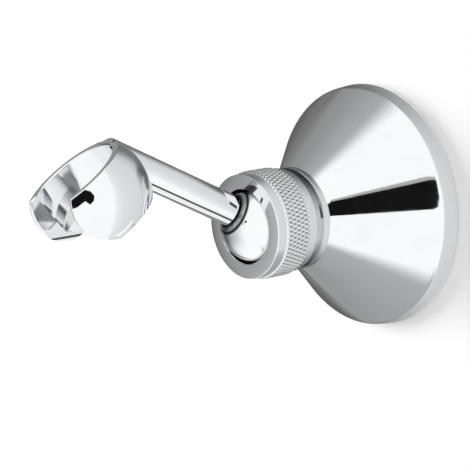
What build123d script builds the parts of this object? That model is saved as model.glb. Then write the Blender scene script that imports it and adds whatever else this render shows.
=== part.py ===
from build123d import *
import os
from math import sqrt

# Wall holder for a hand shower: a cone base, a ball joint under a knurled nut, and an arm with a slotted cup.
# The wall face is the plane y = 0 and the holder stands out from it along -Y, with +Z up. Sizes are in mm.

# Wall base: a hollow cone with a thin collar, a groove and a threaded spigot
base_diameter = 76.0
rim_width = 5.5
rim_draft = 0.6
rim_round = 2.4
cone_front = 31.6
waist_step = 3.05
base_wall = 2.6
collar_step = 1.6
collar_length = 2.4
collar_round = 0.3
groove_step = 0.8
groove_length = 2.3
spigot_wall = 1.7
thread_length = 8.6
relief_length = 1.2
relief_depth = 0.6
web_thickness = 5.0
screw_hole_diameter = 5.5
screw_head_diameter = 10.5
screw_head_angle = 90.0

# Ball joint
ball_diameter = 24.0
ball_set_back = 0.05
ball_clearance = 0.1
ball_flat_margin = 0.3
stud_diameter = 6.0
stud_length = 8.0
stud_hole_spare = 2.0
seat_bore_diameter = 13.0
seat_thickness = 2.4
seat_lip = 0.3
spigot_bore_margin = 0.2
running_clearance = 0.05

# Clamping nut
nut_wall = 2.4
nut_reach = 6.2
nut_gap = 0.5
nut_lip = 0.7
nut_front_band = 3.4
nut_rear_band = 3.1
nut_band_step = 0.65
nut_edge_round = 0.35

# Arm and cup, with the pose that the joint is stored in
arm_diameter = 9.5
arm_lift = 27.5
arm_side = -13.0
arm_twist = 13.1
arm_end_round = 0.5
arm_proud = 0.85
cup_along_arm = 56.4
cup_lean = 26.0
cup_wall = 4.1
cup_rim_height = 8.3
cup_foot_depth = 10.2
cup_bore_diameter = 28.2
cup_ledge = 2.0
cup_seat_height = 4.0
slot_margin = 0.1
slot_corner_round = 6.0
slot_corner_tilt = 35.0
cup_edge_round = 0.6

# Radii that follow from the sizes above, from the ball outwards
ball_radius = ball_diameter / 2
socket_radius = ball_radius + ball_clearance
spigot_bore_radius = socket_radius + spigot_bore_margin
seat_radius = spigot_bore_radius - running_clearance
seat_bore_radius = seat_bore_diameter / 2
seat_edge_radius = seat_radius - seat_lip
thread_radius = spigot_bore_radius + spigot_wall
relief_radius = thread_radius - relief_depth
collar_radius = thread_radius + collar_step
waist_radius = collar_radius - waist_step
groove_radius = thread_radius + groove_step
base_radius = base_diameter / 2
band_radius = base_radius - rim_draft
cavity_radius = base_radius - base_wall
screw_hole_radius = screw_hole_diameter / 2
screw_head_radius = screw_head_diameter / 2
nut_thread_radius = thread_radius + running_clearance
nut_radius = nut_thread_radius + nut_wall
nut_band_radius = nut_radius - nut_band_step
nut_mouth_radius = ball_radius - nut_lip
stud_radius = stud_diameter / 2
arm_radius = arm_diameter / 2
cup_bore_radius = cup_bore_diameter / 2
cup_radius = cup_bore_radius + cup_wall
cup_seat_radius = cup_bore_radius - cup_ledge
slot_width = 2 * (cup_seat_radius - slot_margin)
flare_width = slot_width + 2 * slot_corner_round

# Heights above the wall, from the rim to the nut's front
collar_front = cone_front + collar_length
groove_front = collar_front + groove_length
relief_front = groove_front + relief_length
spigot_front = relief_front + thread_length
ball_centre_height = spigot_front - ball_set_back
seat_edge_front = ball_centre_height - sqrt(socket_radius**2 - seat_edge_radius**2)
seat_bore_front = ball_centre_height - sqrt(socket_radius**2 - seat_bore_radius**2)
socket_floor = seat_bore_front - seat_thickness
seat_back = socket_floor + running_clearance
web_back = socket_floor - web_thickness
nut_rear = groove_front + nut_gap
nut_step = spigot_front + nut_gap
nut_front = ball_centre_height + nut_reach
mouth_seat_front = ball_centre_height + sqrt(socket_radius**2 - nut_mouth_radius**2)
socket_start_radius = sqrt(socket_radius**2 - (nut_step - ball_centre_height) ** 2)
cone_slope = (band_radius - waist_radius) / (cone_front - rim_width)
skin_radial = base_wall * sqrt(1 + cone_slope**2)

# Places along the arm and the cup's bore
ball_flat = sqrt(ball_radius**2 - (arm_radius + ball_flat_margin) ** 2)
arm_start = ball_flat + running_clearance
cup_below_arm = cup_radius + arm_proud - arm_radius
cup_height = cup_rim_height + cup_foot_depth
cup_middle = (cup_rim_height - cup_foot_depth) / 2

# The arm's line through the ball, and the cup's own axes
ball_centre = Vector(0, -ball_centre_height, 0)
arm_line = Vector(0, -1, 0).rotate(Axis.X, -arm_lift).rotate(Axis.Z, arm_side)
level_side = Vector(0, 0, 1).cross(arm_line).normalized()
cup_side = level_side.rotate(Axis((0, 0, 0), arm_line), arm_twist)
cup_up = arm_line.cross(cup_side)
bore_line = arm_line.rotate(Axis((0, 0, 0), cup_side), -cup_lean)
cup_centre = ball_centre + arm_line * cup_along_arm - cup_up * cup_below_arm
arm_plane = Plane(ball_centre, x_dir=cup_side, z_dir=arm_line)
cup_plane = Plane(cup_centre, x_dir=cup_side, z_dir=bore_line)

# The cutter that rounds the slot's lower corners: it dips as it runs in, so the foot keeps its ring
corner_reach = sqrt(cup_radius**2 - cup_foot_depth**2 - (slot_width / 2) ** 2)
corner_point = cup_centre - cup_plane.y_dir * corner_reach - bore_line * cup_foot_depth
flare_line = cup_plane.y_dir.rotate(Axis((0, 0, 0), cup_side), -slot_corner_tilt)
flare_plane = Plane(corner_point, x_dir=-cup_side, z_dir=flare_line)


def cone_radius(height):
    """Outer radius of the cone at a height above the wall."""
    return waist_radius + (cone_front - height) * cone_slope


os.makedirs("parts", exist_ok=True)

# Wall base, turned about the Y axis
with BuildPart() as wall_base:
    with BuildSketch(Plane.XY) as base_outline:
        with BuildLine():
            Polyline(
                (0, 0),
                (base_radius, 0),
                (band_radius, -rim_width),
                (waist_radius, -cone_front),
                (collar_radius, -cone_front),
                (collar_radius, -collar_front),
                (groove_radius, -collar_front),
                (groove_radius, -groove_front),
                (relief_radius, -groove_front),
                (relief_radius, -relief_front),
                (thread_radius, -relief_front),
                (thread_radius, -spigot_front),
                (0, -spigot_front),
                close=True,
            )
        make_face()
        rim_corner = base_outline.vertices().sort_by_distance((band_radius, -rim_width, 0))[0]
        fillet(rim_corner, rim_round)
        collar_back = base_outline.vertices().sort_by_distance((collar_radius, -cone_front, 0))[0]
        fillet(collar_back, collar_round)
        collar_face = base_outline.vertices().sort_by_distance((collar_radius, -collar_front, 0))[0]
        fillet(collar_face, collar_round)
    revolve(axis=Axis.Y)
    with BuildSketch(Plane.XY):
        with BuildLine():
            Polyline(
                (0, 0),
                (cavity_radius, 0),
                (cone_radius(rim_width) - skin_radial, -rim_width),
                (cone_radius(web_back) - skin_radial, -web_back),
                (0, -web_back),
                close=True,
            )
        make_face()
        with BuildLine():
            Polyline(
                (0, -socket_floor),
                (spigot_bore_radius, -socket_floor),
                (spigot_bore_radius, -spigot_front),
                (0, -spigot_front),
                close=True,
            )
        make_face()
    revolve(axis=Axis.Y, mode=Mode.SUBTRACT)
    with Locations(Plane((0, -socket_floor, 0), x_dir=(1, 0, 0), z_dir=(0, -1, 0))):
        CounterSinkHole(
            screw_hole_radius,
            screw_head_radius,
            depth=web_thickness,
            counter_sink_angle=screw_head_angle,
        )
wall_base.part.label = "wall_base"
export_step(wall_base.part, "parts/wall_base.step")

# Friction seat, a plastic ring with a hollow that fits the ball
with BuildPart() as friction_seat:
    with BuildSketch(Plane.XY):
        with BuildLine():
            Polyline(
                (seat_bore_radius, -seat_bore_front),
                (seat_bore_radius, -seat_back),
                (seat_radius, -seat_back),
                (seat_radius, -seat_edge_front),
                (seat_edge_radius, -seat_edge_front),
            )
            RadiusArc(
                (seat_edge_radius, -seat_edge_front),
                (seat_bore_radius, -seat_bore_front),
                -socket_radius,
            )
        make_face()
    revolve(axis=Axis.Y)
friction_seat.part.label = "friction_seat"
export_step(friction_seat.part, "parts/friction_seat.step")

# Swivel ball with a flat for the arm's end, and the stud that screws into the arm
with BuildPart(arm_plane) as swivel_ball:
    Sphere(ball_radius)
    split(bisect_by=arm_plane.offset(ball_flat), keep=Keep.BOTTOM)
    with BuildSketch(arm_plane.offset(ball_flat)):
        Circle(stud_radius)
    extrude(amount=stud_length)
swivel_ball.part.label = "swivel_ball"
export_step(swivel_ball.part, "parts/swivel_ball.step")

# Clamping nut, turned about the Y axis, with a lip that holds the ball
with BuildPart() as clamp_nut:
    with BuildSketch(Plane.XY):
        with BuildLine():
            Polyline(
                (socket_start_radius, -nut_step),
                (nut_thread_radius, -nut_step),
                (nut_thread_radius, -nut_rear),
                (nut_band_radius, -nut_rear),
                (nut_band_radius, -nut_rear - nut_rear_band),
                (nut_radius, -nut_rear - nut_rear_band),
                (nut_radius, -nut_front + nut_front_band),
                (nut_band_radius, -nut_front + nut_front_band),
                (nut_band_radius, -nut_front),
                (nut_mouth_radius, -nut_front),
                (nut_mouth_radius, -mouth_seat_front),
            )
            RadiusArc(
                (nut_mouth_radius, -mouth_seat_front),
                (socket_start_radius, -nut_step),
                -socket_radius,
            )
        make_face()
    revolve(axis=Axis.Y)
    front_face = clamp_nut.faces().filter_by(Axis.Y).sort_by(Axis.Y)[0]
    rear_face = clamp_nut.faces().filter_by(Axis.Y).sort_by(Axis.Y)[-1]
    fillet(front_face.edges().sort_by(SortBy.RADIUS)[-1], nut_edge_round)
    fillet(rear_face.edges().sort_by(SortBy.RADIUS)[-1], nut_edge_round)
clamp_nut.part.label = "clamp_nut"
export_step(clamp_nut.part, "parts/clamp_nut.step")

# Arm and cup in one piece: a ball cut flat above and below, bored and slotted for the hose cone
with BuildPart(cup_plane) as holder_arm:
    Sphere(cup_radius)
    split(bisect_by=cup_plane.offset(-cup_foot_depth), keep=Keep.TOP)
    with BuildSketch(arm_plane.offset(arm_start)):
        Circle(arm_radius)
    extrude(amount=cup_along_arm)
    split(bisect_by=cup_plane.offset(cup_rim_height), keep=Keep.BOTTOM)
    with Locations((0, 0, cup_middle)):
        Cylinder(cup_seat_radius, cup_height, mode=Mode.SUBTRACT)
    with BuildSketch(cup_plane.offset(cup_rim_height)):
        Circle(cup_bore_radius)
    extrude(amount=-(cup_height - cup_seat_height), mode=Mode.SUBTRACT)
    with BuildSketch(cup_plane.offset(-cup_foot_depth + cup_seat_height)):
        Circle(cup_bore_radius)
    with BuildSketch(cup_plane.offset(-cup_foot_depth)):
        Circle(cup_seat_radius)
    loft(mode=Mode.SUBTRACT)
    with Locations((0, -cup_radius, cup_middle)):
        Box(slot_width, 2 * cup_radius, cup_height, mode=Mode.SUBTRACT)
    with BuildSketch(arm_plane.offset(arm_start)):
        Circle(stud_radius + running_clearance)
    extrude(amount=stud_length + stud_hole_spare, mode=Mode.SUBTRACT)
    cup_flats = holder_arm.faces().filter_by(Axis(cup_centre, bore_line))
    slot_sides = holder_arm.faces().filter_by(Axis(cup_centre, cup_side))
    cup_edges = cup_flats.edges() + slot_sides.edges().filter_by(GeomType.CIRCLE)
    fillet(cup_edges, cup_edge_round)
    with BuildSketch(flare_plane):
        with Locations((0, slot_corner_round)):
            Rectangle(flare_width, cup_height, align=(Align.CENTER, Align.MAX))
        with Locations((-flare_width / 2, slot_corner_round), (flare_width / 2, slot_corner_round)):
            Circle(slot_corner_round, mode=Mode.SUBTRACT)
    extrude(amount=corner_reach, both=True, mode=Mode.SUBTRACT)
    arm_axis = Axis(ball_centre, arm_line)
    arm_end = holder_arm.faces().filter_by(arm_axis).sort_by(arm_axis)[0]
    fillet(arm_end.edges().sort_by(SortBy.RADIUS)[-1], arm_end_round)
holder_arm.part.label = "holder_arm"
export_step(holder_arm.part, "parts/holder_arm.step")
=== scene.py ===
# %% [markdown]
# # A wall holder with a ball joint, dressed in Blender
#
# The solids of the holder come in as a fixed frame: a cone base, a friction seat, a ball, a knurled nut, and
# an arm with a slotted cup. They are in metres, with the wall as the plane y = 0 and the holder standing out
# along -Y. This lesson gives them their finishes, cuts the diamond knurl of the nut, and sets up a studio.

import bpy
import numpy as np
from mathutils import Matrix, Vector


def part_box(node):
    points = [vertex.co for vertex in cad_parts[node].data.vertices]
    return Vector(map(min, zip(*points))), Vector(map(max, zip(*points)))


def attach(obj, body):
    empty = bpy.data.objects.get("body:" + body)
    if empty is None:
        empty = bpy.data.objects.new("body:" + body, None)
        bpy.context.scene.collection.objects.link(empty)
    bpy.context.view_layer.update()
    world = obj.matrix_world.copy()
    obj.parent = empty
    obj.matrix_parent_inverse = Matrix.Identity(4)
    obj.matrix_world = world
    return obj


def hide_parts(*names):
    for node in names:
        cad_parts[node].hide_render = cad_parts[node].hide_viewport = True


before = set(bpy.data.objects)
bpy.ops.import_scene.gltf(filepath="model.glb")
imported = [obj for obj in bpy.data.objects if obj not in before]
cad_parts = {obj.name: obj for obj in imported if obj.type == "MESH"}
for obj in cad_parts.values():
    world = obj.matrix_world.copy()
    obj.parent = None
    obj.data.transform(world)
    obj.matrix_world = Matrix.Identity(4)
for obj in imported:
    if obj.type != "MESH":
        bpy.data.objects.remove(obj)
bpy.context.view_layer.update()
print("nodes:", sorted(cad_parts))

# %% [markdown]
# ## Colours and nodes
#
# Colours are written as sRGB hex values, as a paint chart gives them, and Blender's shaders work in linear
# light, so one function turns one into the other. Another adds a shader node with its settings and links,
# which keeps each material short enough to read in one go.


# %% Helpers for materials
def linear(hex_colour):
    """The linear RGBA of an sRGB hex colour: a power of 2.4 above a short straight toe."""
    srgb = np.array([int(hex_colour[i : i + 2], 16) for i in (1, 3, 5)]) / 255
    light = np.where(srgb <= 0.04045, srgb / 12.92, ((srgb + 0.055) / 1.055) ** 2.4)
    return (*light.tolist(), 1.0)


def add_node(tree, kind, inputs=None, **settings):
    """Adds a node with its settings. Inputs map a socket's name or number to a value or a socket to link."""
    node = tree.nodes.new(kind)
    for name, value in settings.items():
        setattr(node, name, value)
    for key, value in (inputs or {}).items():
        if isinstance(value, bpy.types.NodeSocket):
            tree.links.new(value, node.inputs[key])
        else:
            node.inputs[key].default_value = value
    return node


def set_greys(ramp, stops):
    """Gives a colour ramp its stops, each a position and a grey level."""
    elements = ramp.color_ramp.elements
    for _ in stops[2:]:
        elements.new(0.5)
    for element, (position, level) in zip(elements, stops):
        element.position = position
        element.color = (level, level, level, 1.0)


def new_material(name):
    """An empty material: its node tree and the output's surface socket."""
    material = bpy.data.materials.new(name)
    material.use_nodes = True
    material.node_tree.nodes.clear()
    output = material.node_tree.nodes.new("ShaderNodeOutputMaterial")
    return material, material.node_tree, output.inputs["Surface"]


MM = 0.001
print("mid grey #808080 is", round(linear("#808080")[0], 3), "in linear light")

# %% [markdown]
# ## Polished chrome
#
# The base, the ball and the arm are brass castings, turned and buffed, then plated with nickel and chrome.
# The eye sees a mirror that is slightly blue-grey, with a trace of uneven buffing that only shows at the edge
# of a reflection. A bare mirror shader would look too clean for a real casting. So a noise of a few
# millimetres moves the roughness a little and tints the plating, and a second one gives the faint waves that
# a buffing wheel leaves.


# %% Polished chrome
def polished_chrome(name, bright, dull, wave_mm, corner, painted_dark_colour):
    """Mirror plating. The corner function adds nodes that give 1 where the plating is painted darker and
    rougher, mostly as painted shade and painted reflection.
    """
    material, tree, surface = new_material(name)
    coords = add_node(tree, "ShaderNodeTexCoord").outputs["Object"]
    cloud = add_node(
        tree,
        "ShaderNodeTexNoise",
        {"Vector": coords, "Scale": 1 / (cloud_mm * MM), "Detail": 3.0, "Roughness": 0.55},
    ).outputs["Fac"]
    plating = add_node(
        tree,
        "ShaderNodeMix",
        {"Factor": cloud, 6: linear(bright), 7: linear(dull)},
        data_type="RGBA",
    ).outputs[2]
    buffed = add_node(
        tree,
        "ShaderNodeMapRange",
        {"Value": cloud, "From Min": 0.3, "From Max": 0.7, "To Min": 0.035, "To Max": 0.075},
    ).outputs["Result"]
    # Where the plating is painted dark: painted shade, a painted reflection of the arm, and the arm's root
    # marks
    painted_dark_amount = corner(tree, coords)
    rough = add_node(
        tree, "ShaderNodeMath", {0: painted_dark_amount, 1: corner_roughness, 2: buffed}, operation="MULTIPLY_ADD"
    ).outputs[0]
    tint = add_node(
        tree,
        "ShaderNodeMix",
        {"Factor": painted_dark_amount, 6: plating, 7: linear(painted_dark_colour)},
        data_type="RGBA",
    ).outputs[2]
    waves = add_node(
        tree, "ShaderNodeTexNoise", {"Vector": coords, "Scale": 1 / (wave_mm * MM), "Detail": 1.0}
    ).outputs["Fac"]
    bump = add_node(
        tree, "ShaderNodeBump", {"Height": waves, "Strength": 0.04, "Distance": 0.02 * MM}
    ).outputs["Normal"]
    shader = add_node(
        tree,
        "ShaderNodeBsdfPrincipled",
        {"Base Color": tint, "Metallic": 1.0, "Roughness": rough, "Normal": bump},
    )
    tree.links.new(shader.outputs["BSDF"], surface)
    return material


cloud_mm = 9.0
corner_roughness = 0.14
print("buffing clouds of", cloud_mm, "mm, corners rougher by", corner_roughness)

# %% [markdown]
# ## Painted shade and reflection on the chrome
#
# Some marks are painted darker and rougher into the plating. The groove behind the nut gets a painted shade,
# darkest at its top and bottom, the ball gets two rings round the arm's foot as a painted reflection of the
# arm, and the corner between arm and cup gets a painted shade. Two small dark marks at the arm's root are
# drawn in the same way. All could be painted on an unwrapped surface, but sums on where a point lies need no
# unwrapping, are sharp at any size, and stay with the piece as the joint moves.


# %% The groove behind the nut
def groove_behind_nut(tree, coords):
    """Painted shade in the groove: from 0.3 to 1 ahead of the collar's front face, by y, and most at the
    groove's top and bottom, by z.
    """
    axes = add_node(tree, "ShaderNodeSeparateXYZ", {"Vector": coords}).outputs
    ahead = add_node(
        tree, "ShaderNodeMath", {0: axes["Y"], 1: groove_start_y * MM}, operation="LESS_THAN"
    ).outputs[0]
    away = add_node(tree, "ShaderNodeMath", {0: axes["Z"]}, operation="ABSOLUTE").outputs[0]
    amount = add_node(
        tree,
        "ShaderNodeMapRange",
        {"Value": away, "From Min": 4 * MM, "From Max": 13 * MM, "To Min": 0.3, "To Max": 1.0},
    ).outputs["Result"]
    return add_node(tree, "ShaderNodeMath", {0: ahead, 1: amount}, operation="MULTIPLY").outputs[0]


groove_start_y = -33.8
print("groove from y", groove_start_y, "mm")


# %% The rings round the arm's foot
def from_ball_centre(tree, coords):
    """A point's place as seen from the ball's centre."""
    return add_node(
        tree, "ShaderNodeVectorMath", {0: coords, 1: ball_centre}, operation="SUBTRACT"
    ).outputs["Vector"]


def rings_round_foot(tree, coords):
    """A painted reflection of the arm: 1 in two rings, by the cosine of the angle at the ball's centre
    between a point and the arm's axis.
    """
    spoke = from_ball_centre(tree, coords)
    heading = add_node(tree, "ShaderNodeVectorMath", {0: spoke}, operation="NORMALIZE").outputs["Vector"]
    cosine = add_node(
        tree, "ShaderNodeVectorMath", {0: heading, 1: arm_axis}, operation="DOT_PRODUCT"
    ).outputs["Value"]
    ramp = add_node(tree, "ShaderNodeValToRGB", {"Fac": cosine})
    set_greys(ramp, ((0.79, 0.0), (0.81, 1.0), (0.835, 1.0), (0.85, 0.45), (0.88, 0.55), (0.9, 1.0)))
    return ramp.outputs["Color"]


ball_centre_y = -46.05
ball_centre = Vector((0.0, ball_centre_y, 0.0)) * MM
arm_axis = Vector((-0.1995, -0.8643, 0.4617))
print("arm rises", round(float(np.degrees(np.arcsin(arm_axis.z))), 1), "degrees above level")


# %% The corner at the cup
def corner_at_cup(tree, coords):
    """Painted shade in the corner between arm and cup: 1 on the cup's outside beside the arm, falling to 0 by
    2 mm off it, by distance from the arm's axis.
    """
    spoke = from_ball_centre(tree, coords)
    along = add_node(
        tree, "ShaderNodeVectorMath", {0: spoke, 1: arm_axis}, operation="PROJECT"
    ).outputs["Vector"]
    reach = add_node(
        tree, "ShaderNodeVectorMath", {0: spoke, 1: along}, operation="DISTANCE"
    ).outputs["Value"]
    beside = add_node(
        tree,
        "ShaderNodeMapRange",
        {"Value": reach, "From Min": 5.2 * MM, "From Max": 7.0 * MM, "To Min": 1.0, "To Max": 0.0},
    ).outputs["Result"]
    off_arm = add_node(
        tree, "ShaderNodeMath", {0: reach, 1: just_off_arm * MM}, operation="GREATER_THAN"
    ).outputs[0]
    from_cup = add_node(
        tree, "ShaderNodeVectorMath", {0: coords, 1: cup_centre}, operation="DISTANCE"
    ).outputs["Value"]
    outside = add_node(
        tree, "ShaderNodeMath", {0: from_cup, 1: just_inside_cup * MM}, operation="GREATER_THAN"
    ).outputs[0]
    beside = add_node(tree, "ShaderNodeMath", {0: beside, 1: off_arm}, operation="MULTIPLY").outputs[0]
    return add_node(tree, "ShaderNodeMath", {0: beside, 1: outside}, operation="MULTIPLY").outputs[0]


cup_centre = Vector((-9.54, -101.79, 13.69)) * MM
just_off_arm, just_inside_cup = 4.8, 17.6
print("cup", round((cup_centre - ball_centre).length / MM, 1), "mm from the ball")


# %% The marks at the arm's root
def marks_at_root(tree, coords):
    """1 along the arm's crest by the ball, and in a short slanting stroke on the arm's right side."""
    spoke = from_ball_centre(tree, coords)
    along, height, aside = (
        add_node(tree, "ShaderNodeVectorMath", {0: spoke, 1: axis}, operation="DOT_PRODUCT").outputs["Value"]
        for axis in (arm_axis, arm_up, arm_side)
    )
    crest = add_node(
        tree, "ShaderNodeMapRange", {"Value": height, "From Min": 4.15 * MM, "From Max": 4.35 * MM}
    ).outputs["Result"]
    near = add_node(
        tree,
        "ShaderNodeMapRange",
        {"Value": along, "From Min": 16.6 * MM, "From Max": 17.2 * MM, "To Min": 1.0, "To Max": 0.0},
    ).outputs["Result"]
    crest = add_node(tree, "ShaderNodeMath", {0: crest, 1: near}, operation="MULTIPLY").outputs[0]
    slant = add_node(
        tree, "ShaderNodeMath", {0: along, 1: -stroke_slope, 2: height}, operation="MULTIPLY_ADD"
    ).outputs[0]
    stroke = add_node(
        tree,
        "ShaderNodeMath",
        {0: slant, 1: stroke_height * MM, 2: stroke_half_width * MM},
        operation="COMPARE",
    ).outputs[0]
    length = add_node(
        tree,
        "ShaderNodeMath",
        {0: along, 1: stroke_middle * MM, 2: stroke_half_length * MM},
        operation="COMPARE",
    ).outputs[0]
    right = add_node(tree, "ShaderNodeMath", {0: aside, 1: 0.0}, operation="GREATER_THAN").outputs[0]
    stroke = add_node(tree, "ShaderNodeMath", {0: stroke, 1: length}, operation="MULTIPLY").outputs[0]
    stroke = add_node(tree, "ShaderNodeMath", {0: stroke, 1: right}, operation="MULTIPLY").outputs[0]
    return add_node(tree, "ShaderNodeMath", {0: crest, 1: stroke}, operation="MAXIMUM").outputs[0]


def corners_of_arm(tree, coords):
    """The corner at the cup and the marks at the root, whichever is more."""
    cup_end, root = corner_at_cup(tree, coords), marks_at_root(tree, coords)
    return add_node(tree, "ShaderNodeMath", {0: cup_end, 1: root}, operation="MAXIMUM").outputs[0]


arm_side = Vector((0.974, -0.228, -0.005))
arm_up = arm_axis.cross(arm_side)
stroke_slope, stroke_height, stroke_half_width = 0.175, -0.6, 0.42
stroke_middle, stroke_half_length = 13.4, 1.4
print("arm's crest points along", [round(v, 3) for v in arm_up])

# %% Chrome for the base, the ball and the arm
# Its last colour is a painted shade, darkest at the top and bottom of the groove behind the nut
base_chrome = polished_chrome(
    "polished_chrome_base", "#F6F7F8", "#EDEEF0", 5.0, groove_behind_nut, "#7C7D80"
)
# Its last colour is a painted reflection of the arm, in two rings round its foot
ball_chrome = polished_chrome(
    "polished_chrome_ball", "#F7F8F9", "#EFF0F2", 3.0, rings_round_foot, "#303133"
)
# Its last colour is a painted shade in the corner between arm and cup, and the colour of two dark marks at
# the arm's root
arm_chrome = polished_chrome(
    "polished_chrome_arm", "#F6F7F8", "#EDEEF1", 3.5, corners_of_arm, "#4A4B4D"
)
print("chrome:", base_chrome.name, ball_chrome.name, arm_chrome.name)

# %% [markdown]
# ## Nylon
#
# The friction seat is a moulded nylon ring behind the ball. It hides inside the joint, and its natural nylon
# is a milky off-white with the fine frosting of the mould. A plain colour would do for a hidden ring, but
# someone may take the joint apart, so a fine noise gives it the frosting and a little light passes into it.

# %% Moulded nylon
seat_nylon, tree, surface = new_material("moulded_natural_nylon")
frost_mm = 0.4
coords = add_node(tree, "ShaderNodeTexCoord").outputs["Object"]
frost = add_node(
    tree, "ShaderNodeTexNoise", {"Vector": coords, "Scale": 1 / (frost_mm * MM), "Detail": 4.0}
).outputs["Fac"]
milk = add_node(
    tree, "ShaderNodeMix", {"Factor": frost, 6: linear("#EFEBE1"), 7: linear("#E2DDD0")}, data_type="RGBA"
).outputs[2]
grain = add_node(
    tree, "ShaderNodeBump", {"Height": frost, "Strength": 0.2, "Distance": 0.02 * MM}
).outputs["Normal"]
nylon = add_node(
    tree,
    "ShaderNodeBsdfPrincipled",
    {"Base Color": milk, "Roughness": 0.45, "IOR": 1.53, "Subsurface Weight": 0.1, "Normal": grain},
)
tree.links.new(nylon.outputs["BSDF"], surface)

for node_name, material in (
    ("wall_base", base_chrome),
    ("swivel_ball", ball_chrome),
    ("holder_arm", arm_chrome),
    ("friction_seat", seat_nylon),
):
    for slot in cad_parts[node_name].material_slots:
        slot.material = material
print("dressed:", len(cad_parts["wall_base"].material_slots), "slot on the base")

# %% [markdown]
# ## The knurled nut
#
# A knurling wheel pressed two sets of spiral grooves into the nut, which leaves rows of small pyramids for
# the fingers. A bump texture could draw them, but the nut's outline would stay smooth and the pyramids
# wouldn't mirror each other, so they are cut into the mesh. The nut is a profile carried round the Y axis. In
# its knurled zone the radius falls by two groove patterns, one for each hand of the spiral: each is a
# triangle wave of (turns x teeth) plus or minus (rows along the axis). The deeper of the two counts most, and
# where they cross the cut is deepest.

# %% The nut's sizes in mm, from its solid
nut_low, nut_high = (np.array(corner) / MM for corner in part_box("clamp_nut"))
nut_front, nut_rear = nut_low[1], nut_high[1]
nut_radius = nut_high[0]
band_step, front_band, rear_band = 0.65, 3.4, 3.1
band_radius = nut_radius - band_step
knurl_start, knurl_end = nut_rear - rear_band, nut_front + front_band
edge_round, knurl_chamfer, mouth_bevel = 0.35, 0.3, 0.15
mouth_radius, thread_radius, socket_radius = 11.3, 14.05, 12.1
step_y = -46.6
knurl_teeth, knurl_rows, groove_depth = 74, 3, 0.5
cuts_per_tooth, cuts_per_row = 8, 16
TURNED, KNURLED, BUFFED = 0, 1, 2
print("nut from y", round(nut_front, 2), "to", round(nut_rear, 2), "mm, radius", round(nut_radius, 2))


# %% The nut's outline
def arc(centre, radius, start_deg, end_deg, count):
    """Points of an arc in the (radius, y) plane: the centre plus radius times (cos, sin) of even angles."""
    angles = np.radians(np.linspace(start_deg, end_deg, count))
    return np.column_stack([centre[0] + radius * np.cos(angles), centre[1] + radius * np.sin(angles)])


def nut_profile():
    """The nut's closed outline as rows of radius and y, with the finish of the zone that each row starts."""
    knurl_y = np.linspace(
        knurl_start - knurl_chamfer, knurl_end + knurl_chamfer, knurl_rows * cuts_per_row + 1
    )
    edge_radius = band_radius - edge_round
    mouth_edge = [[mouth_radius + mouth_bevel, nut_front], [mouth_radius, nut_front + mouth_bevel]]
    mouth_angle = -np.degrees(np.arccos(mouth_radius / socket_radius))
    step_angle = -np.degrees(np.arcsin((ball_centre_y - step_y) / socket_radius))
    parts = [
        (np.array([[thread_radius, nut_rear]]), BUFFED),
        (arc((edge_radius, nut_rear - edge_round), edge_round, 90, 0, 6), TURNED),
        (np.array([[band_radius, knurl_start]]), TURNED),
        (np.column_stack([np.full(len(knurl_y), nut_radius), knurl_y]), KNURLED),
        (np.array([[band_radius, knurl_end]]), TURNED),
        (arc((edge_radius, nut_front + edge_round), edge_round, 0, -90, 6), BUFFED),
        (np.array(mouth_edge), BUFFED),
        (arc((0, ball_centre_y), socket_radius, mouth_angle, step_angle, 10), TURNED),
        (np.array([[thread_radius, step_y]]), TURNED),
    ]
    rows = np.vstack([points for points, _ in parts])
    zones = np.concatenate([np.full(len(points), zone) for points, zone in parts])
    return rows, zones


rows, zones = nut_profile()
print("outline:", len(rows), "rows, of which", int((zones == KNURLED).sum()), "in the knurl")


# %% Cut the knurl
def groove_wave(phase):
    """A groove at every whole number: 1 at its floor, falling straight to 0 on the crest between two."""
    return np.clip(1.5 * np.abs(2 * (phase % 1) - 1) - 0.5, 0, 1)


sides = knurl_teeth * cuts_per_tooth
turn = np.arange(sides) / sides
along = (rows[:, 1] - knurl_start) / (knurl_end - knurl_start) * knurl_rows
left_hand = groove_wave(turn[None] * knurl_teeth + along[:, None])
right_hand = groove_wave(turn[None] * knurl_teeth - along[:, None])
crossed = 0.6 * np.maximum(left_hand, right_hand) + 0.4 * np.minimum(left_hand, right_hand)
radius = rows[:, :1] - (zones == KNURLED)[:, None] * groove_depth * crossed
# The last knurled row starts the chamfer down to the front band, which was turned
zones[np.flatnonzero(zones == KNURLED)[-1]] = TURNED
angle = 2 * np.pi * turn
height = np.repeat(rows[:, 1:], sides, axis=1)
points = np.stack([radius * np.cos(angle), height, radius * np.sin(angle)], axis=-1).reshape(-1, 3) * MM
print("knurl:", knurl_teeth, "teeth in", knurl_rows, "rows,", groove_depth, "mm deep")

# %% Build the nut
row, column = np.meshgrid(np.arange(len(rows)), np.arange(sides), indexing="ij")
here, below = row * sides, (row + 1) % len(rows) * sides
next_column = (column + 1) % sides
quads = np.stack([here + column, here + next_column, below + next_column, below + column], axis=-1)
quads = quads.reshape(-1, 4)
first, second, third, fourth = points[quads].transpose(1, 0, 2)
volume = np.sum(first * (np.cross(second, third) + np.cross(third, fourth))) / 6
if volume < 0:
    quads = quads[:, ::-1]
nut_mesh = bpy.data.meshes.new("clamp_nut_knurled")
nut_mesh.from_pydata(points, [], quads)
nut_mesh.polygons.foreach_set("material_index", np.repeat(zones, sides).astype(np.int32))
nut_mesh.polygons.foreach_set("use_smooth", np.ones(len(quads), dtype=bool))
nut_mesh.set_sharp_from_angle(angle=np.radians(24))
nut = bpy.data.objects.new("clamp_nut_knurled", nut_mesh)
bpy.context.scene.collection.objects.link(nut)
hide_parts("clamp_nut")
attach(nut, "nut")
print("nut:", len(points), "points,", len(quads), "faces, volume", round(abs(volume) * 1e9), "mm3")
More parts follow.
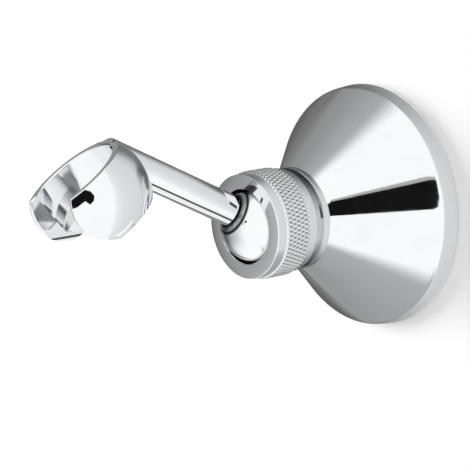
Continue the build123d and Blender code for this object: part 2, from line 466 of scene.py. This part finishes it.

# %% [markdown]
# ## Finishes of the nut
#
# After plating, the nut keeps the marks of how each part was made. The face was buffed flat. The bands were
# turned and have a fine satin that runs round them. The knurl is bright on its crests, and its grooves get a
# painted shade, near black. One material with masks could hold all three, but a material for each zone is
# easier to read and to change. The streaks are drawn coarser than real tool marks, which would be too fine
# to show.


# %% Turned, knurled and buffed chrome
def nut_chrome(name, colour, painted_groove_shade, roughness, streak_mm, streak_depth):
    """Chrome with streaks that run round the nut: noise on (angle, y, radius), stretched along the angle.
    Below the crests the colour turns to a painted shade.
    """
    material, tree, surface = new_material(name)
    coords = add_node(tree, "ShaderNodeTexCoord").outputs["Object"]
    axes = add_node(tree, "ShaderNodeSeparateXYZ", {"Vector": coords}).outputs
    bearing = add_node(tree, "ShaderNodeMath", {0: axes["Z"], 1: axes["X"]}, operation="ARCTAN2").outputs[0]
    squared_x = add_node(tree, "ShaderNodeMath", {0: axes["X"], 1: 2.0}, operation="POWER").outputs[0]
    squared = add_node(
        tree, "ShaderNodeMath", {0: axes["Z"], 1: axes["Z"], 2: squared_x}, operation="MULTIPLY_ADD"
    ).outputs[0]
    reach = add_node(tree, "ShaderNodeMath", {0: squared, 1: 0.5}, operation="POWER").outputs[0]
    lie = add_node(
        tree, "ShaderNodeCombineXYZ", {"X": bearing, "Y": axes["Y"], "Z": reach}
    ).outputs["Vector"]
    fineness = 1 / (streak_mm * MM)
    stretched = add_node(
        tree, "ShaderNodeMapping", {"Vector": lie, "Scale": (1.6, fineness, fineness)}
    ).outputs["Vector"]
    streaks = add_node(
        tree, "ShaderNodeTexNoise", {"Vector": stretched, "Scale": 1.0, "Detail": 3.0}
    ).outputs["Fac"]
    crest = add_node(
        tree,
        "ShaderNodeMapRange",
        {
            "Value": reach,
            "From Min": (nut_radius - groove_depth) * MM,
            "From Max": (nut_radius - 0.25 * groove_depth) * MM,
        },
    ).outputs["Result"]
    # Painted shade: the colour darkens from the crests down into the grooves
    tint = add_node(
        tree,
        "ShaderNodeMix",
        {"Factor": crest, 6: linear(painted_groove_shade), 7: linear(colour)},
        data_type="RGBA",
    ).outputs[2]
    finest, coarsest = 0.8 * roughness, 1.3 * roughness
    rough = add_node(
        tree,
        "ShaderNodeMapRange",
        {"Value": streaks, "From Min": 0.3, "From Max": 0.7, "To Min": finest, "To Max": coarsest},
    ).outputs["Result"]
    bump = add_node(
        tree, "ShaderNodeBump", {"Height": streaks, "Strength": streak_depth, "Distance": 0.01 * MM}
    ).outputs["Normal"]
    shader = add_node(
        tree,
        "ShaderNodeBsdfPrincipled",
        {"Base Color": tint, "Metallic": 1.0, "Roughness": rough, "Normal": bump},
    )
    tree.links.new(shader.outputs["BSDF"], surface)
    return material


# In the order of the zones: turned, knurled, buffed
for finish in (
    nut_chrome("turned_satin_chrome", "#EFF0F2", "#EFF0F2", 0.22, 0.35, 0.12),
    # The knurl's grooves get a near-black painted shade
    nut_chrome("knurled_chrome", "#F8F9FA", "#232427", 0.08, 0.5, 0.1),
    nut_chrome("buffed_chrome_face", "#F0F1F3", "#F0F1F3", 0.03, 0.4, 0.02),
):
    nut_mesh.materials.append(finish)
print("nut finishes:", [finish.name for finish in nut_mesh.materials])

# %% [markdown]
# ## The studio
#
# Chrome has almost no colour of its own and shows the room, so the room is what is designed here. A picture
# of a real studio could light it, but then no mark could be placed, so the room is built. A white wall
# carries the holder, a pale floor lies far below, and the sky is a soft white tent that is greyer on its
# left. One softbox on the left throws the holder's shadow to the right. The cards that follow are seen by
# mirror reflections alone: they throw no shadow and the camera doesn't see them.


# %% Wall and floor
def panel(name, corners_mm, material):
    """A flat stage panel through its corners, in mm."""
    mesh = bpy.data.meshes.new(name)
    mesh.from_pydata(np.array(corners_mm) * MM, [], [range(len(corners_mm))])
    mesh.materials.append(material)
    sheet = bpy.data.objects.new(name, mesh)
    bpy.context.scene.collection.objects.link(sheet)
    return sheet


def backdrop_paint(name, colour, lift):
    """Matt paint, lifted towards white for the rays that draw the background, and clear from behind."""
    material, tree, surface = new_material(name)
    paint = add_node(tree, "ShaderNodeBsdfDiffuse", {"Color": linear(colour)}).outputs["BSDF"]
    rays = add_node(tree, "ShaderNodeLightPath").outputs
    seen = add_node(
        tree, "ShaderNodeMath", {0: rays["Is Camera Ray"], 1: rays["Is Glossy Ray"]}, operation="MAXIMUM"
    ).outputs[0]
    seen = add_node(
        tree, "ShaderNodeMath", {0: seen, 1: rays["Is Transmission Ray"]}, operation="MAXIMUM"
    ).outputs[0]
    strength = add_node(tree, "ShaderNodeMath", {0: seen, 1: lift}, operation="MULTIPLY").outputs[0]
    glow = add_node(tree, "ShaderNodeEmission", {"Strength": strength}).outputs["Emission"]
    front = add_node(tree, "ShaderNodeAddShader", {0: paint, 1: glow}).outputs["Shader"]
    clear = add_node(tree, "ShaderNodeBsdfTransparent").outputs["BSDF"]
    behind = add_node(tree, "ShaderNodeNewGeometry").outputs["Backfacing"]
    both = add_node(tree, "ShaderNodeMixShader", {0: behind, 1: front, 2: clear}).outputs["Shader"]
    tree.links.new(both, surface)
    return material


def upright(y):
    """The corners of an upright sheet as wide as the room, at a distance from the wall's plane."""
    return [(-room, y, floor_z), (room, y, floor_z), (room, y, room), (-room, y, room)]


wall_y, floor_z, room = 0.2, -500.0, 1600.0
panel("wall", upright(wall_y), backdrop_paint("matt_white_wall", "#D0D0D0", 0.2))
floor_plan = [(-room, -room), (room, -room), (room, wall_y), (-room, wall_y)]
floor_corners = [(x, y, floor_z) for x, y in floor_plan]
floor = panel("floor", floor_corners, backdrop_paint("pale_floor", "#D8D8D8", 0.25))
floor.visible_glossy = False

# %% [markdown]
# ## What the mirror sees
#
# Each card answers one mark that the eye reads as chrome. The marks could be painted on the metal, but then
# they would not move as the view moves, as reflections do. The wall, as the mirror sees it, is bright on the
# right and shaded on the left, and darkest round the left of the rim. A black card in front of the cone gives
# its dark wedge, with a grey one just beyond it for the wedge's soft upper edge, and a grey card below gives
# the cone's lower shade. Two strips that slope away under the arm, one dark and one light, draw the lines
# that tell its roundness. A small black patch near the cup gives the blot that a ball shows of what stands
# before it. A card shows one face only, so that the pieces behind it don't mirror it too.


# %% Reflection cards
def card_paint(name, brightness):
    """A card lit to one brightness, a number or a function that adds it from nodes, and clear from behind."""
    material, tree, surface = new_material(name)
    strength = brightness(tree) if callable(brightness) else brightness
    glow = add_node(tree, "ShaderNodeEmission", {"Strength": strength}).outputs["Emission"]
    clear = add_node(tree, "ShaderNodeBsdfTransparent").outputs["BSDF"]
    behind = add_node(tree, "ShaderNodeNewGeometry").outputs["Backfacing"]
    both = add_node(tree, "ShaderNodeMixShader", {0: behind, 1: glow, 2: clear}).outputs["Shader"]
    tree.links.new(both, surface)
    return material


def reflection_card(name, corners_mm, brightness):
    """A card that only mirror reflections see, on the side from which its corners run anticlockwise."""
    card = panel(name, corners_mm, card_paint(name + "_paint", brightness))
    for ray in ("camera", "diffuse", "transmission", "volume_scatter", "shadow"):
        setattr(card, "visible_" + ray, False)
    return card


white, black = 1.06, 0.006
print("cards run from", black, "to", white)


# %% The wall as the mirror sees it
def shaded_wall(tree):
    """Brightness across the wall: a ramp along x, with a painted shadow in a ring round the left of the rim.
    """
    place = add_node(tree, "ShaderNodeTexCoord").outputs["Object"]
    across = add_node(tree, "ShaderNodeSeparateXYZ", {"Vector": place}).outputs["X"]
    start, end = wall_shades[0][0], wall_shades[-1][0]
    share = add_node(
        tree, "ShaderNodeMapRange", {"Value": across, "From Min": start * MM, "From Max": end * MM}
    ).outputs["Result"]
    ramp = add_node(tree, "ShaderNodeValToRGB", {"Fac": share})
    set_greys(ramp, [((x - start) / (end - start), level) for x, level in wall_shades])
    away = add_node(tree, "ShaderNodeVectorMath", {0: place}, operation="LENGTH").outputs["Value"]
    ring = add_node(
        tree,
        "ShaderNodeMapRange",
        {"Value": away, "From Min": 46 * MM, "From Max": 66 * MM},
        interpolation_type="SMOOTHSTEP",
    ).outputs["Result"]
    right = add_node(
        tree,
        "ShaderNodeMapRange",
        {"Value": across, "From Min": -20 * MM, "From Max": 46 * MM},
        interpolation_type="SMOOTHSTEP",
    ).outputs["Result"]
    open_wall = add_node(tree, "ShaderNodeMath", {0: ring, 1: right}, operation="MAXIMUM").outputs[0]
    return add_node(
        tree, "ShaderNodeMix", {"Factor": open_wall, 2: 0.13, 3: ramp.outputs["Color"]}, data_type="FLOAT"
    ).outputs["Result"]


# Each shade is a place along x in mm and a brightness
wall_shades = ((-200, 0.3), (-90, 0.23), (-60, 0.19), (-35, 0.22), (0, 0.6), (30, 0.74), (600, white))
wall_card_y = -1.0
reflection_card("mirrored_wall", upright(wall_card_y), shaded_wall)
print("wall card with", len(wall_shades), "shades")

# %% The cards in front of the cone
wedge_y, haze_y = -45.5, -46.0
wedge = [(24.5, 13.5), (26, 17), (68, 33.5), (71, 34), (73, 32), (77.5, 17), (78, 7), (76, 5), (26.5, 3.5)]
reflection_card("dark_wedge", [(x, wedge_y, z) for x, z in wedge], black)
wedge_haze = [(25.5, 19), (66.5, 37.5), (71, 37), (74, 33), (77, 24), (27.5, 12)]
reflection_card("wedge_haze", [(x, haze_y, z) for x, z in wedge_haze], 0.45)
print("wedge card:", len(wedge), "corners, haze card:", len(wedge_haze))


# %% The card below the cone
def shaded_under(tree):
    """Brightness of the card below: grey, and white from a slanting line in front on the right."""
    place = add_node(tree, "ShaderNodeTexCoord").outputs["Object"]
    past_line = add_node(
        tree, "ShaderNodeVectorMath", {0: place, 1: (0.916, -0.402, 0.0)}, operation="DOT_PRODUCT"
    ).outputs["Value"]
    front = add_node(
        tree,
        "ShaderNodeMapRange",
        {"Value": past_line, "From Min": 45 * MM, "From Max": 71 * MM, "To Min": 0.0, "To Max": 0.6},
        interpolation_type="SMOOTHSTEP",
    ).outputs["Result"]
    side = add_node(
        tree,
        "ShaderNodeMapRange",
        {"Value": past_line, "From Min": -10 * MM, "From Max": 45 * MM, "To Min": 0.34, "To Max": 0.46},
    ).outputs["Result"]
    return add_node(tree, "ShaderNodeMath", {0: front, 1: side}, operation="ADD").outputs[0]


under_z = -55.0
under = [(-80, -2), (-80, -36), (8, -46), (27, -62), (44, -80), (80, -2)]
reflection_card("grey_under", [(x, y, under_z) for x, y in under], shaded_under)
print("card below at z", under_z, "mm")

# %% The strips under the arm and the patch by the cup
dark_line = [(3, -58, -5), (12, -91, -60), (31.5, -91.5, -53), (5, -58, -4)]
reflection_card("dark_line", dark_line, 0.08)
light_line = [(-1, -57.5, -6), (-20, -84, -61.5), (6, -90, -61.5), (2, -58, -5.5)]
reflection_card("light_line", light_line, 0.95)
blot = [(3.5, -129.5, 13.5), (9.5, -124.5, 22.5), (12, -121, 25.5), (14.5, -118, 25), (17, -116.5, 22)]
blot += [(17, -117, 18.5), (16, -119.5, 16), (14, -122, 18.5), (10, -126, 14), (6, -128.5, 12.5)]
reflection_card("dark_blot", blot, black)

# %% [markdown]
# ## The tent of light
#
# The sky's brightness is worked out from the direction in which a ray leaves. It goes from grey on the left
# to white on the right, with an edge that is softer near level than higher up. It fades towards the wall on
# the left and is darkest at the far left near level, which gives the ball its shaded side. Straight below it
# is white again.

# %% The tent's brightness
world = bpy.data.worlds.new("light_tent")
world.use_nodes = True
bpy.context.scene.world = world
tree = world.node_tree
tree.nodes.clear()
heading = add_node(tree, "ShaderNodeTexCoord").outputs["Generated"]
axes = add_node(tree, "ShaderNodeSeparateXYZ", {"Vector": heading}).outputs
edge_from = add_node(
    tree,
    "ShaderNodeMapRange",
    {"Value": axes["Z"], "From Min": -0.1, "From Max": 0.6, "To Min": -0.8, "To Max": -0.42},
).outputs["Result"]
edge_to = add_node(
    tree,
    "ShaderNodeMapRange",
    {"Value": axes["Z"], "From Min": -0.1, "From Max": 0.6, "To Min": 0.2, "To Max": -0.08},
).outputs["Result"]
tent = add_node(
    tree,
    "ShaderNodeMapRange",
    {"Value": axes["X"], "From Min": edge_from, "From Max": edge_to, "To Min": 0.44, "To Max": white},
    interpolation_type="SMOOTHSTEP",
).outputs["Result"]
towards_wall = add_node(
    tree, "ShaderNodeVectorMath", {0: heading, 1: (-0.8, 1.0, 0.0)}, operation="DOT_PRODUCT"
).outputs["Value"]
fade = add_node(
    tree,
    "ShaderNodeMapRange",
    {"Value": towards_wall, "From Min": 0.0, "From Max": 0.6, "To Min": 1.0, "To Max": 0.72},
).outputs["Result"]
tent = add_node(tree, "ShaderNodeMath", {0: tent, 1: fade}, operation="MULTIPLY").outputs[0]
far_left = add_node(
    tree,
    "ShaderNodeMapRange",
    {"Value": axes["X"], "From Min": -0.92, "From Max": -0.66, "To Min": 0.35, "To Max": 1.0},
    interpolation_type="SMOOTHSTEP",
).outputs["Result"]
high = add_node(
    tree, "ShaderNodeMapRange", {"Value": axes["Z"], "From Min": 0.05, "From Max": 0.4}
).outputs["Result"]
low_left = add_node(tree, "ShaderNodeMath", {0: far_left, 1: high}, operation="MAXIMUM").outputs[0]
tent = add_node(tree, "ShaderNodeMath", {0: tent, 1: low_left}, operation="MULTIPLY").outputs[0]
straight_down = add_node(
    tree,
    "ShaderNodeMapRange",
    {"Value": axes["Z"], "From Min": -0.95, "From Max": -0.5, "To Min": 1.0, "To Max": 0.0},
    interpolation_type="SMOOTHSTEP",
).outputs["Result"]
tent = add_node(
    tree, "ShaderNodeMix", {"Factor": straight_down, 2: tent, 3: white}, data_type="FLOAT"
).outputs["Result"]
sky = add_node(
    tree, "ShaderNodeBackground", {"Color": (1.0, 1.0, 1.0, 1.0), "Strength": tent}
).outputs["Background"]
add_node(tree, "ShaderNodeOutputWorld", {"Surface": sky})
print("tent:", len(tree.nodes), "nodes")


# %% The softbox
def direction(bearing_deg, rise_deg):
    """The unit vector at a bearing from straight out of the wall, positive to the right, and a rise."""
    bearing, rise = np.radians([bearing_deg, rise_deg])
    return np.array([np.cos(rise) * np.sin(bearing), -np.cos(rise) * np.cos(bearing), np.sin(rise)])


softbox_bearing, softbox_rise, softbox_distance = -62, 4, 0.9
softbox_data = bpy.data.lights.new("left_softbox", "AREA")
softbox_data.shape = "DISK"
softbox_data.size = 0.6
softbox_data.energy = 10.5
softbox = bpy.data.objects.new("left_softbox", softbox_data)
bpy.context.scene.collection.objects.link(softbox)
softbox.location = ball_centre + Vector(softbox_distance * direction(softbox_bearing, softbox_rise))
softbox.rotation_mode = "QUATERNION"
softbox.rotation_quaternion = (ball_centre - softbox.location).to_track_quat("-Z", "Y")
softbox.visible_glossy = False
print("softbox at", [round(v, 3) for v in softbox.location])

# %% [markdown]
# ## The camera
#
# The camera stands to the right of the holder and a little above it, at the distance that gives the
# photograph's perspective. Its target, distance and focal length come from matching the base's ellipses and
# the arm.

# %% Camera
camera_bearing, camera_rise, camera_distance = 50.37, 12.84, 655.78 * MM
target = np.array([-32.87, -28.5, -11.676]) * MM
focal_pixels, image_pixels = 2055.93, 470
camera_data = bpy.data.cameras.new("camera")
camera_data.sensor_width = 36.0
camera_data.lens = focal_pixels * camera_data.sensor_width / image_pixels
camera_data.clip_start = 0.01
camera = bpy.data.objects.new("camera", camera_data)
bpy.context.scene.collection.objects.link(camera)
back = direction(camera_bearing, camera_rise)
right = np.cross([0, 0, 1], back)
right /= np.linalg.norm(right)
up = np.cross(back, right)
place = Matrix(np.column_stack([right, up, back]).tolist()).to_4x4()
place.translation = target + camera_distance * back
camera.matrix_world = place
bpy.context.scene.camera = camera
bpy.context.scene.view_settings.view_transform = "Standard"
print("lens", round(camera_data.lens, 2), "mm at", [round(v, 4) for v in place.translation])
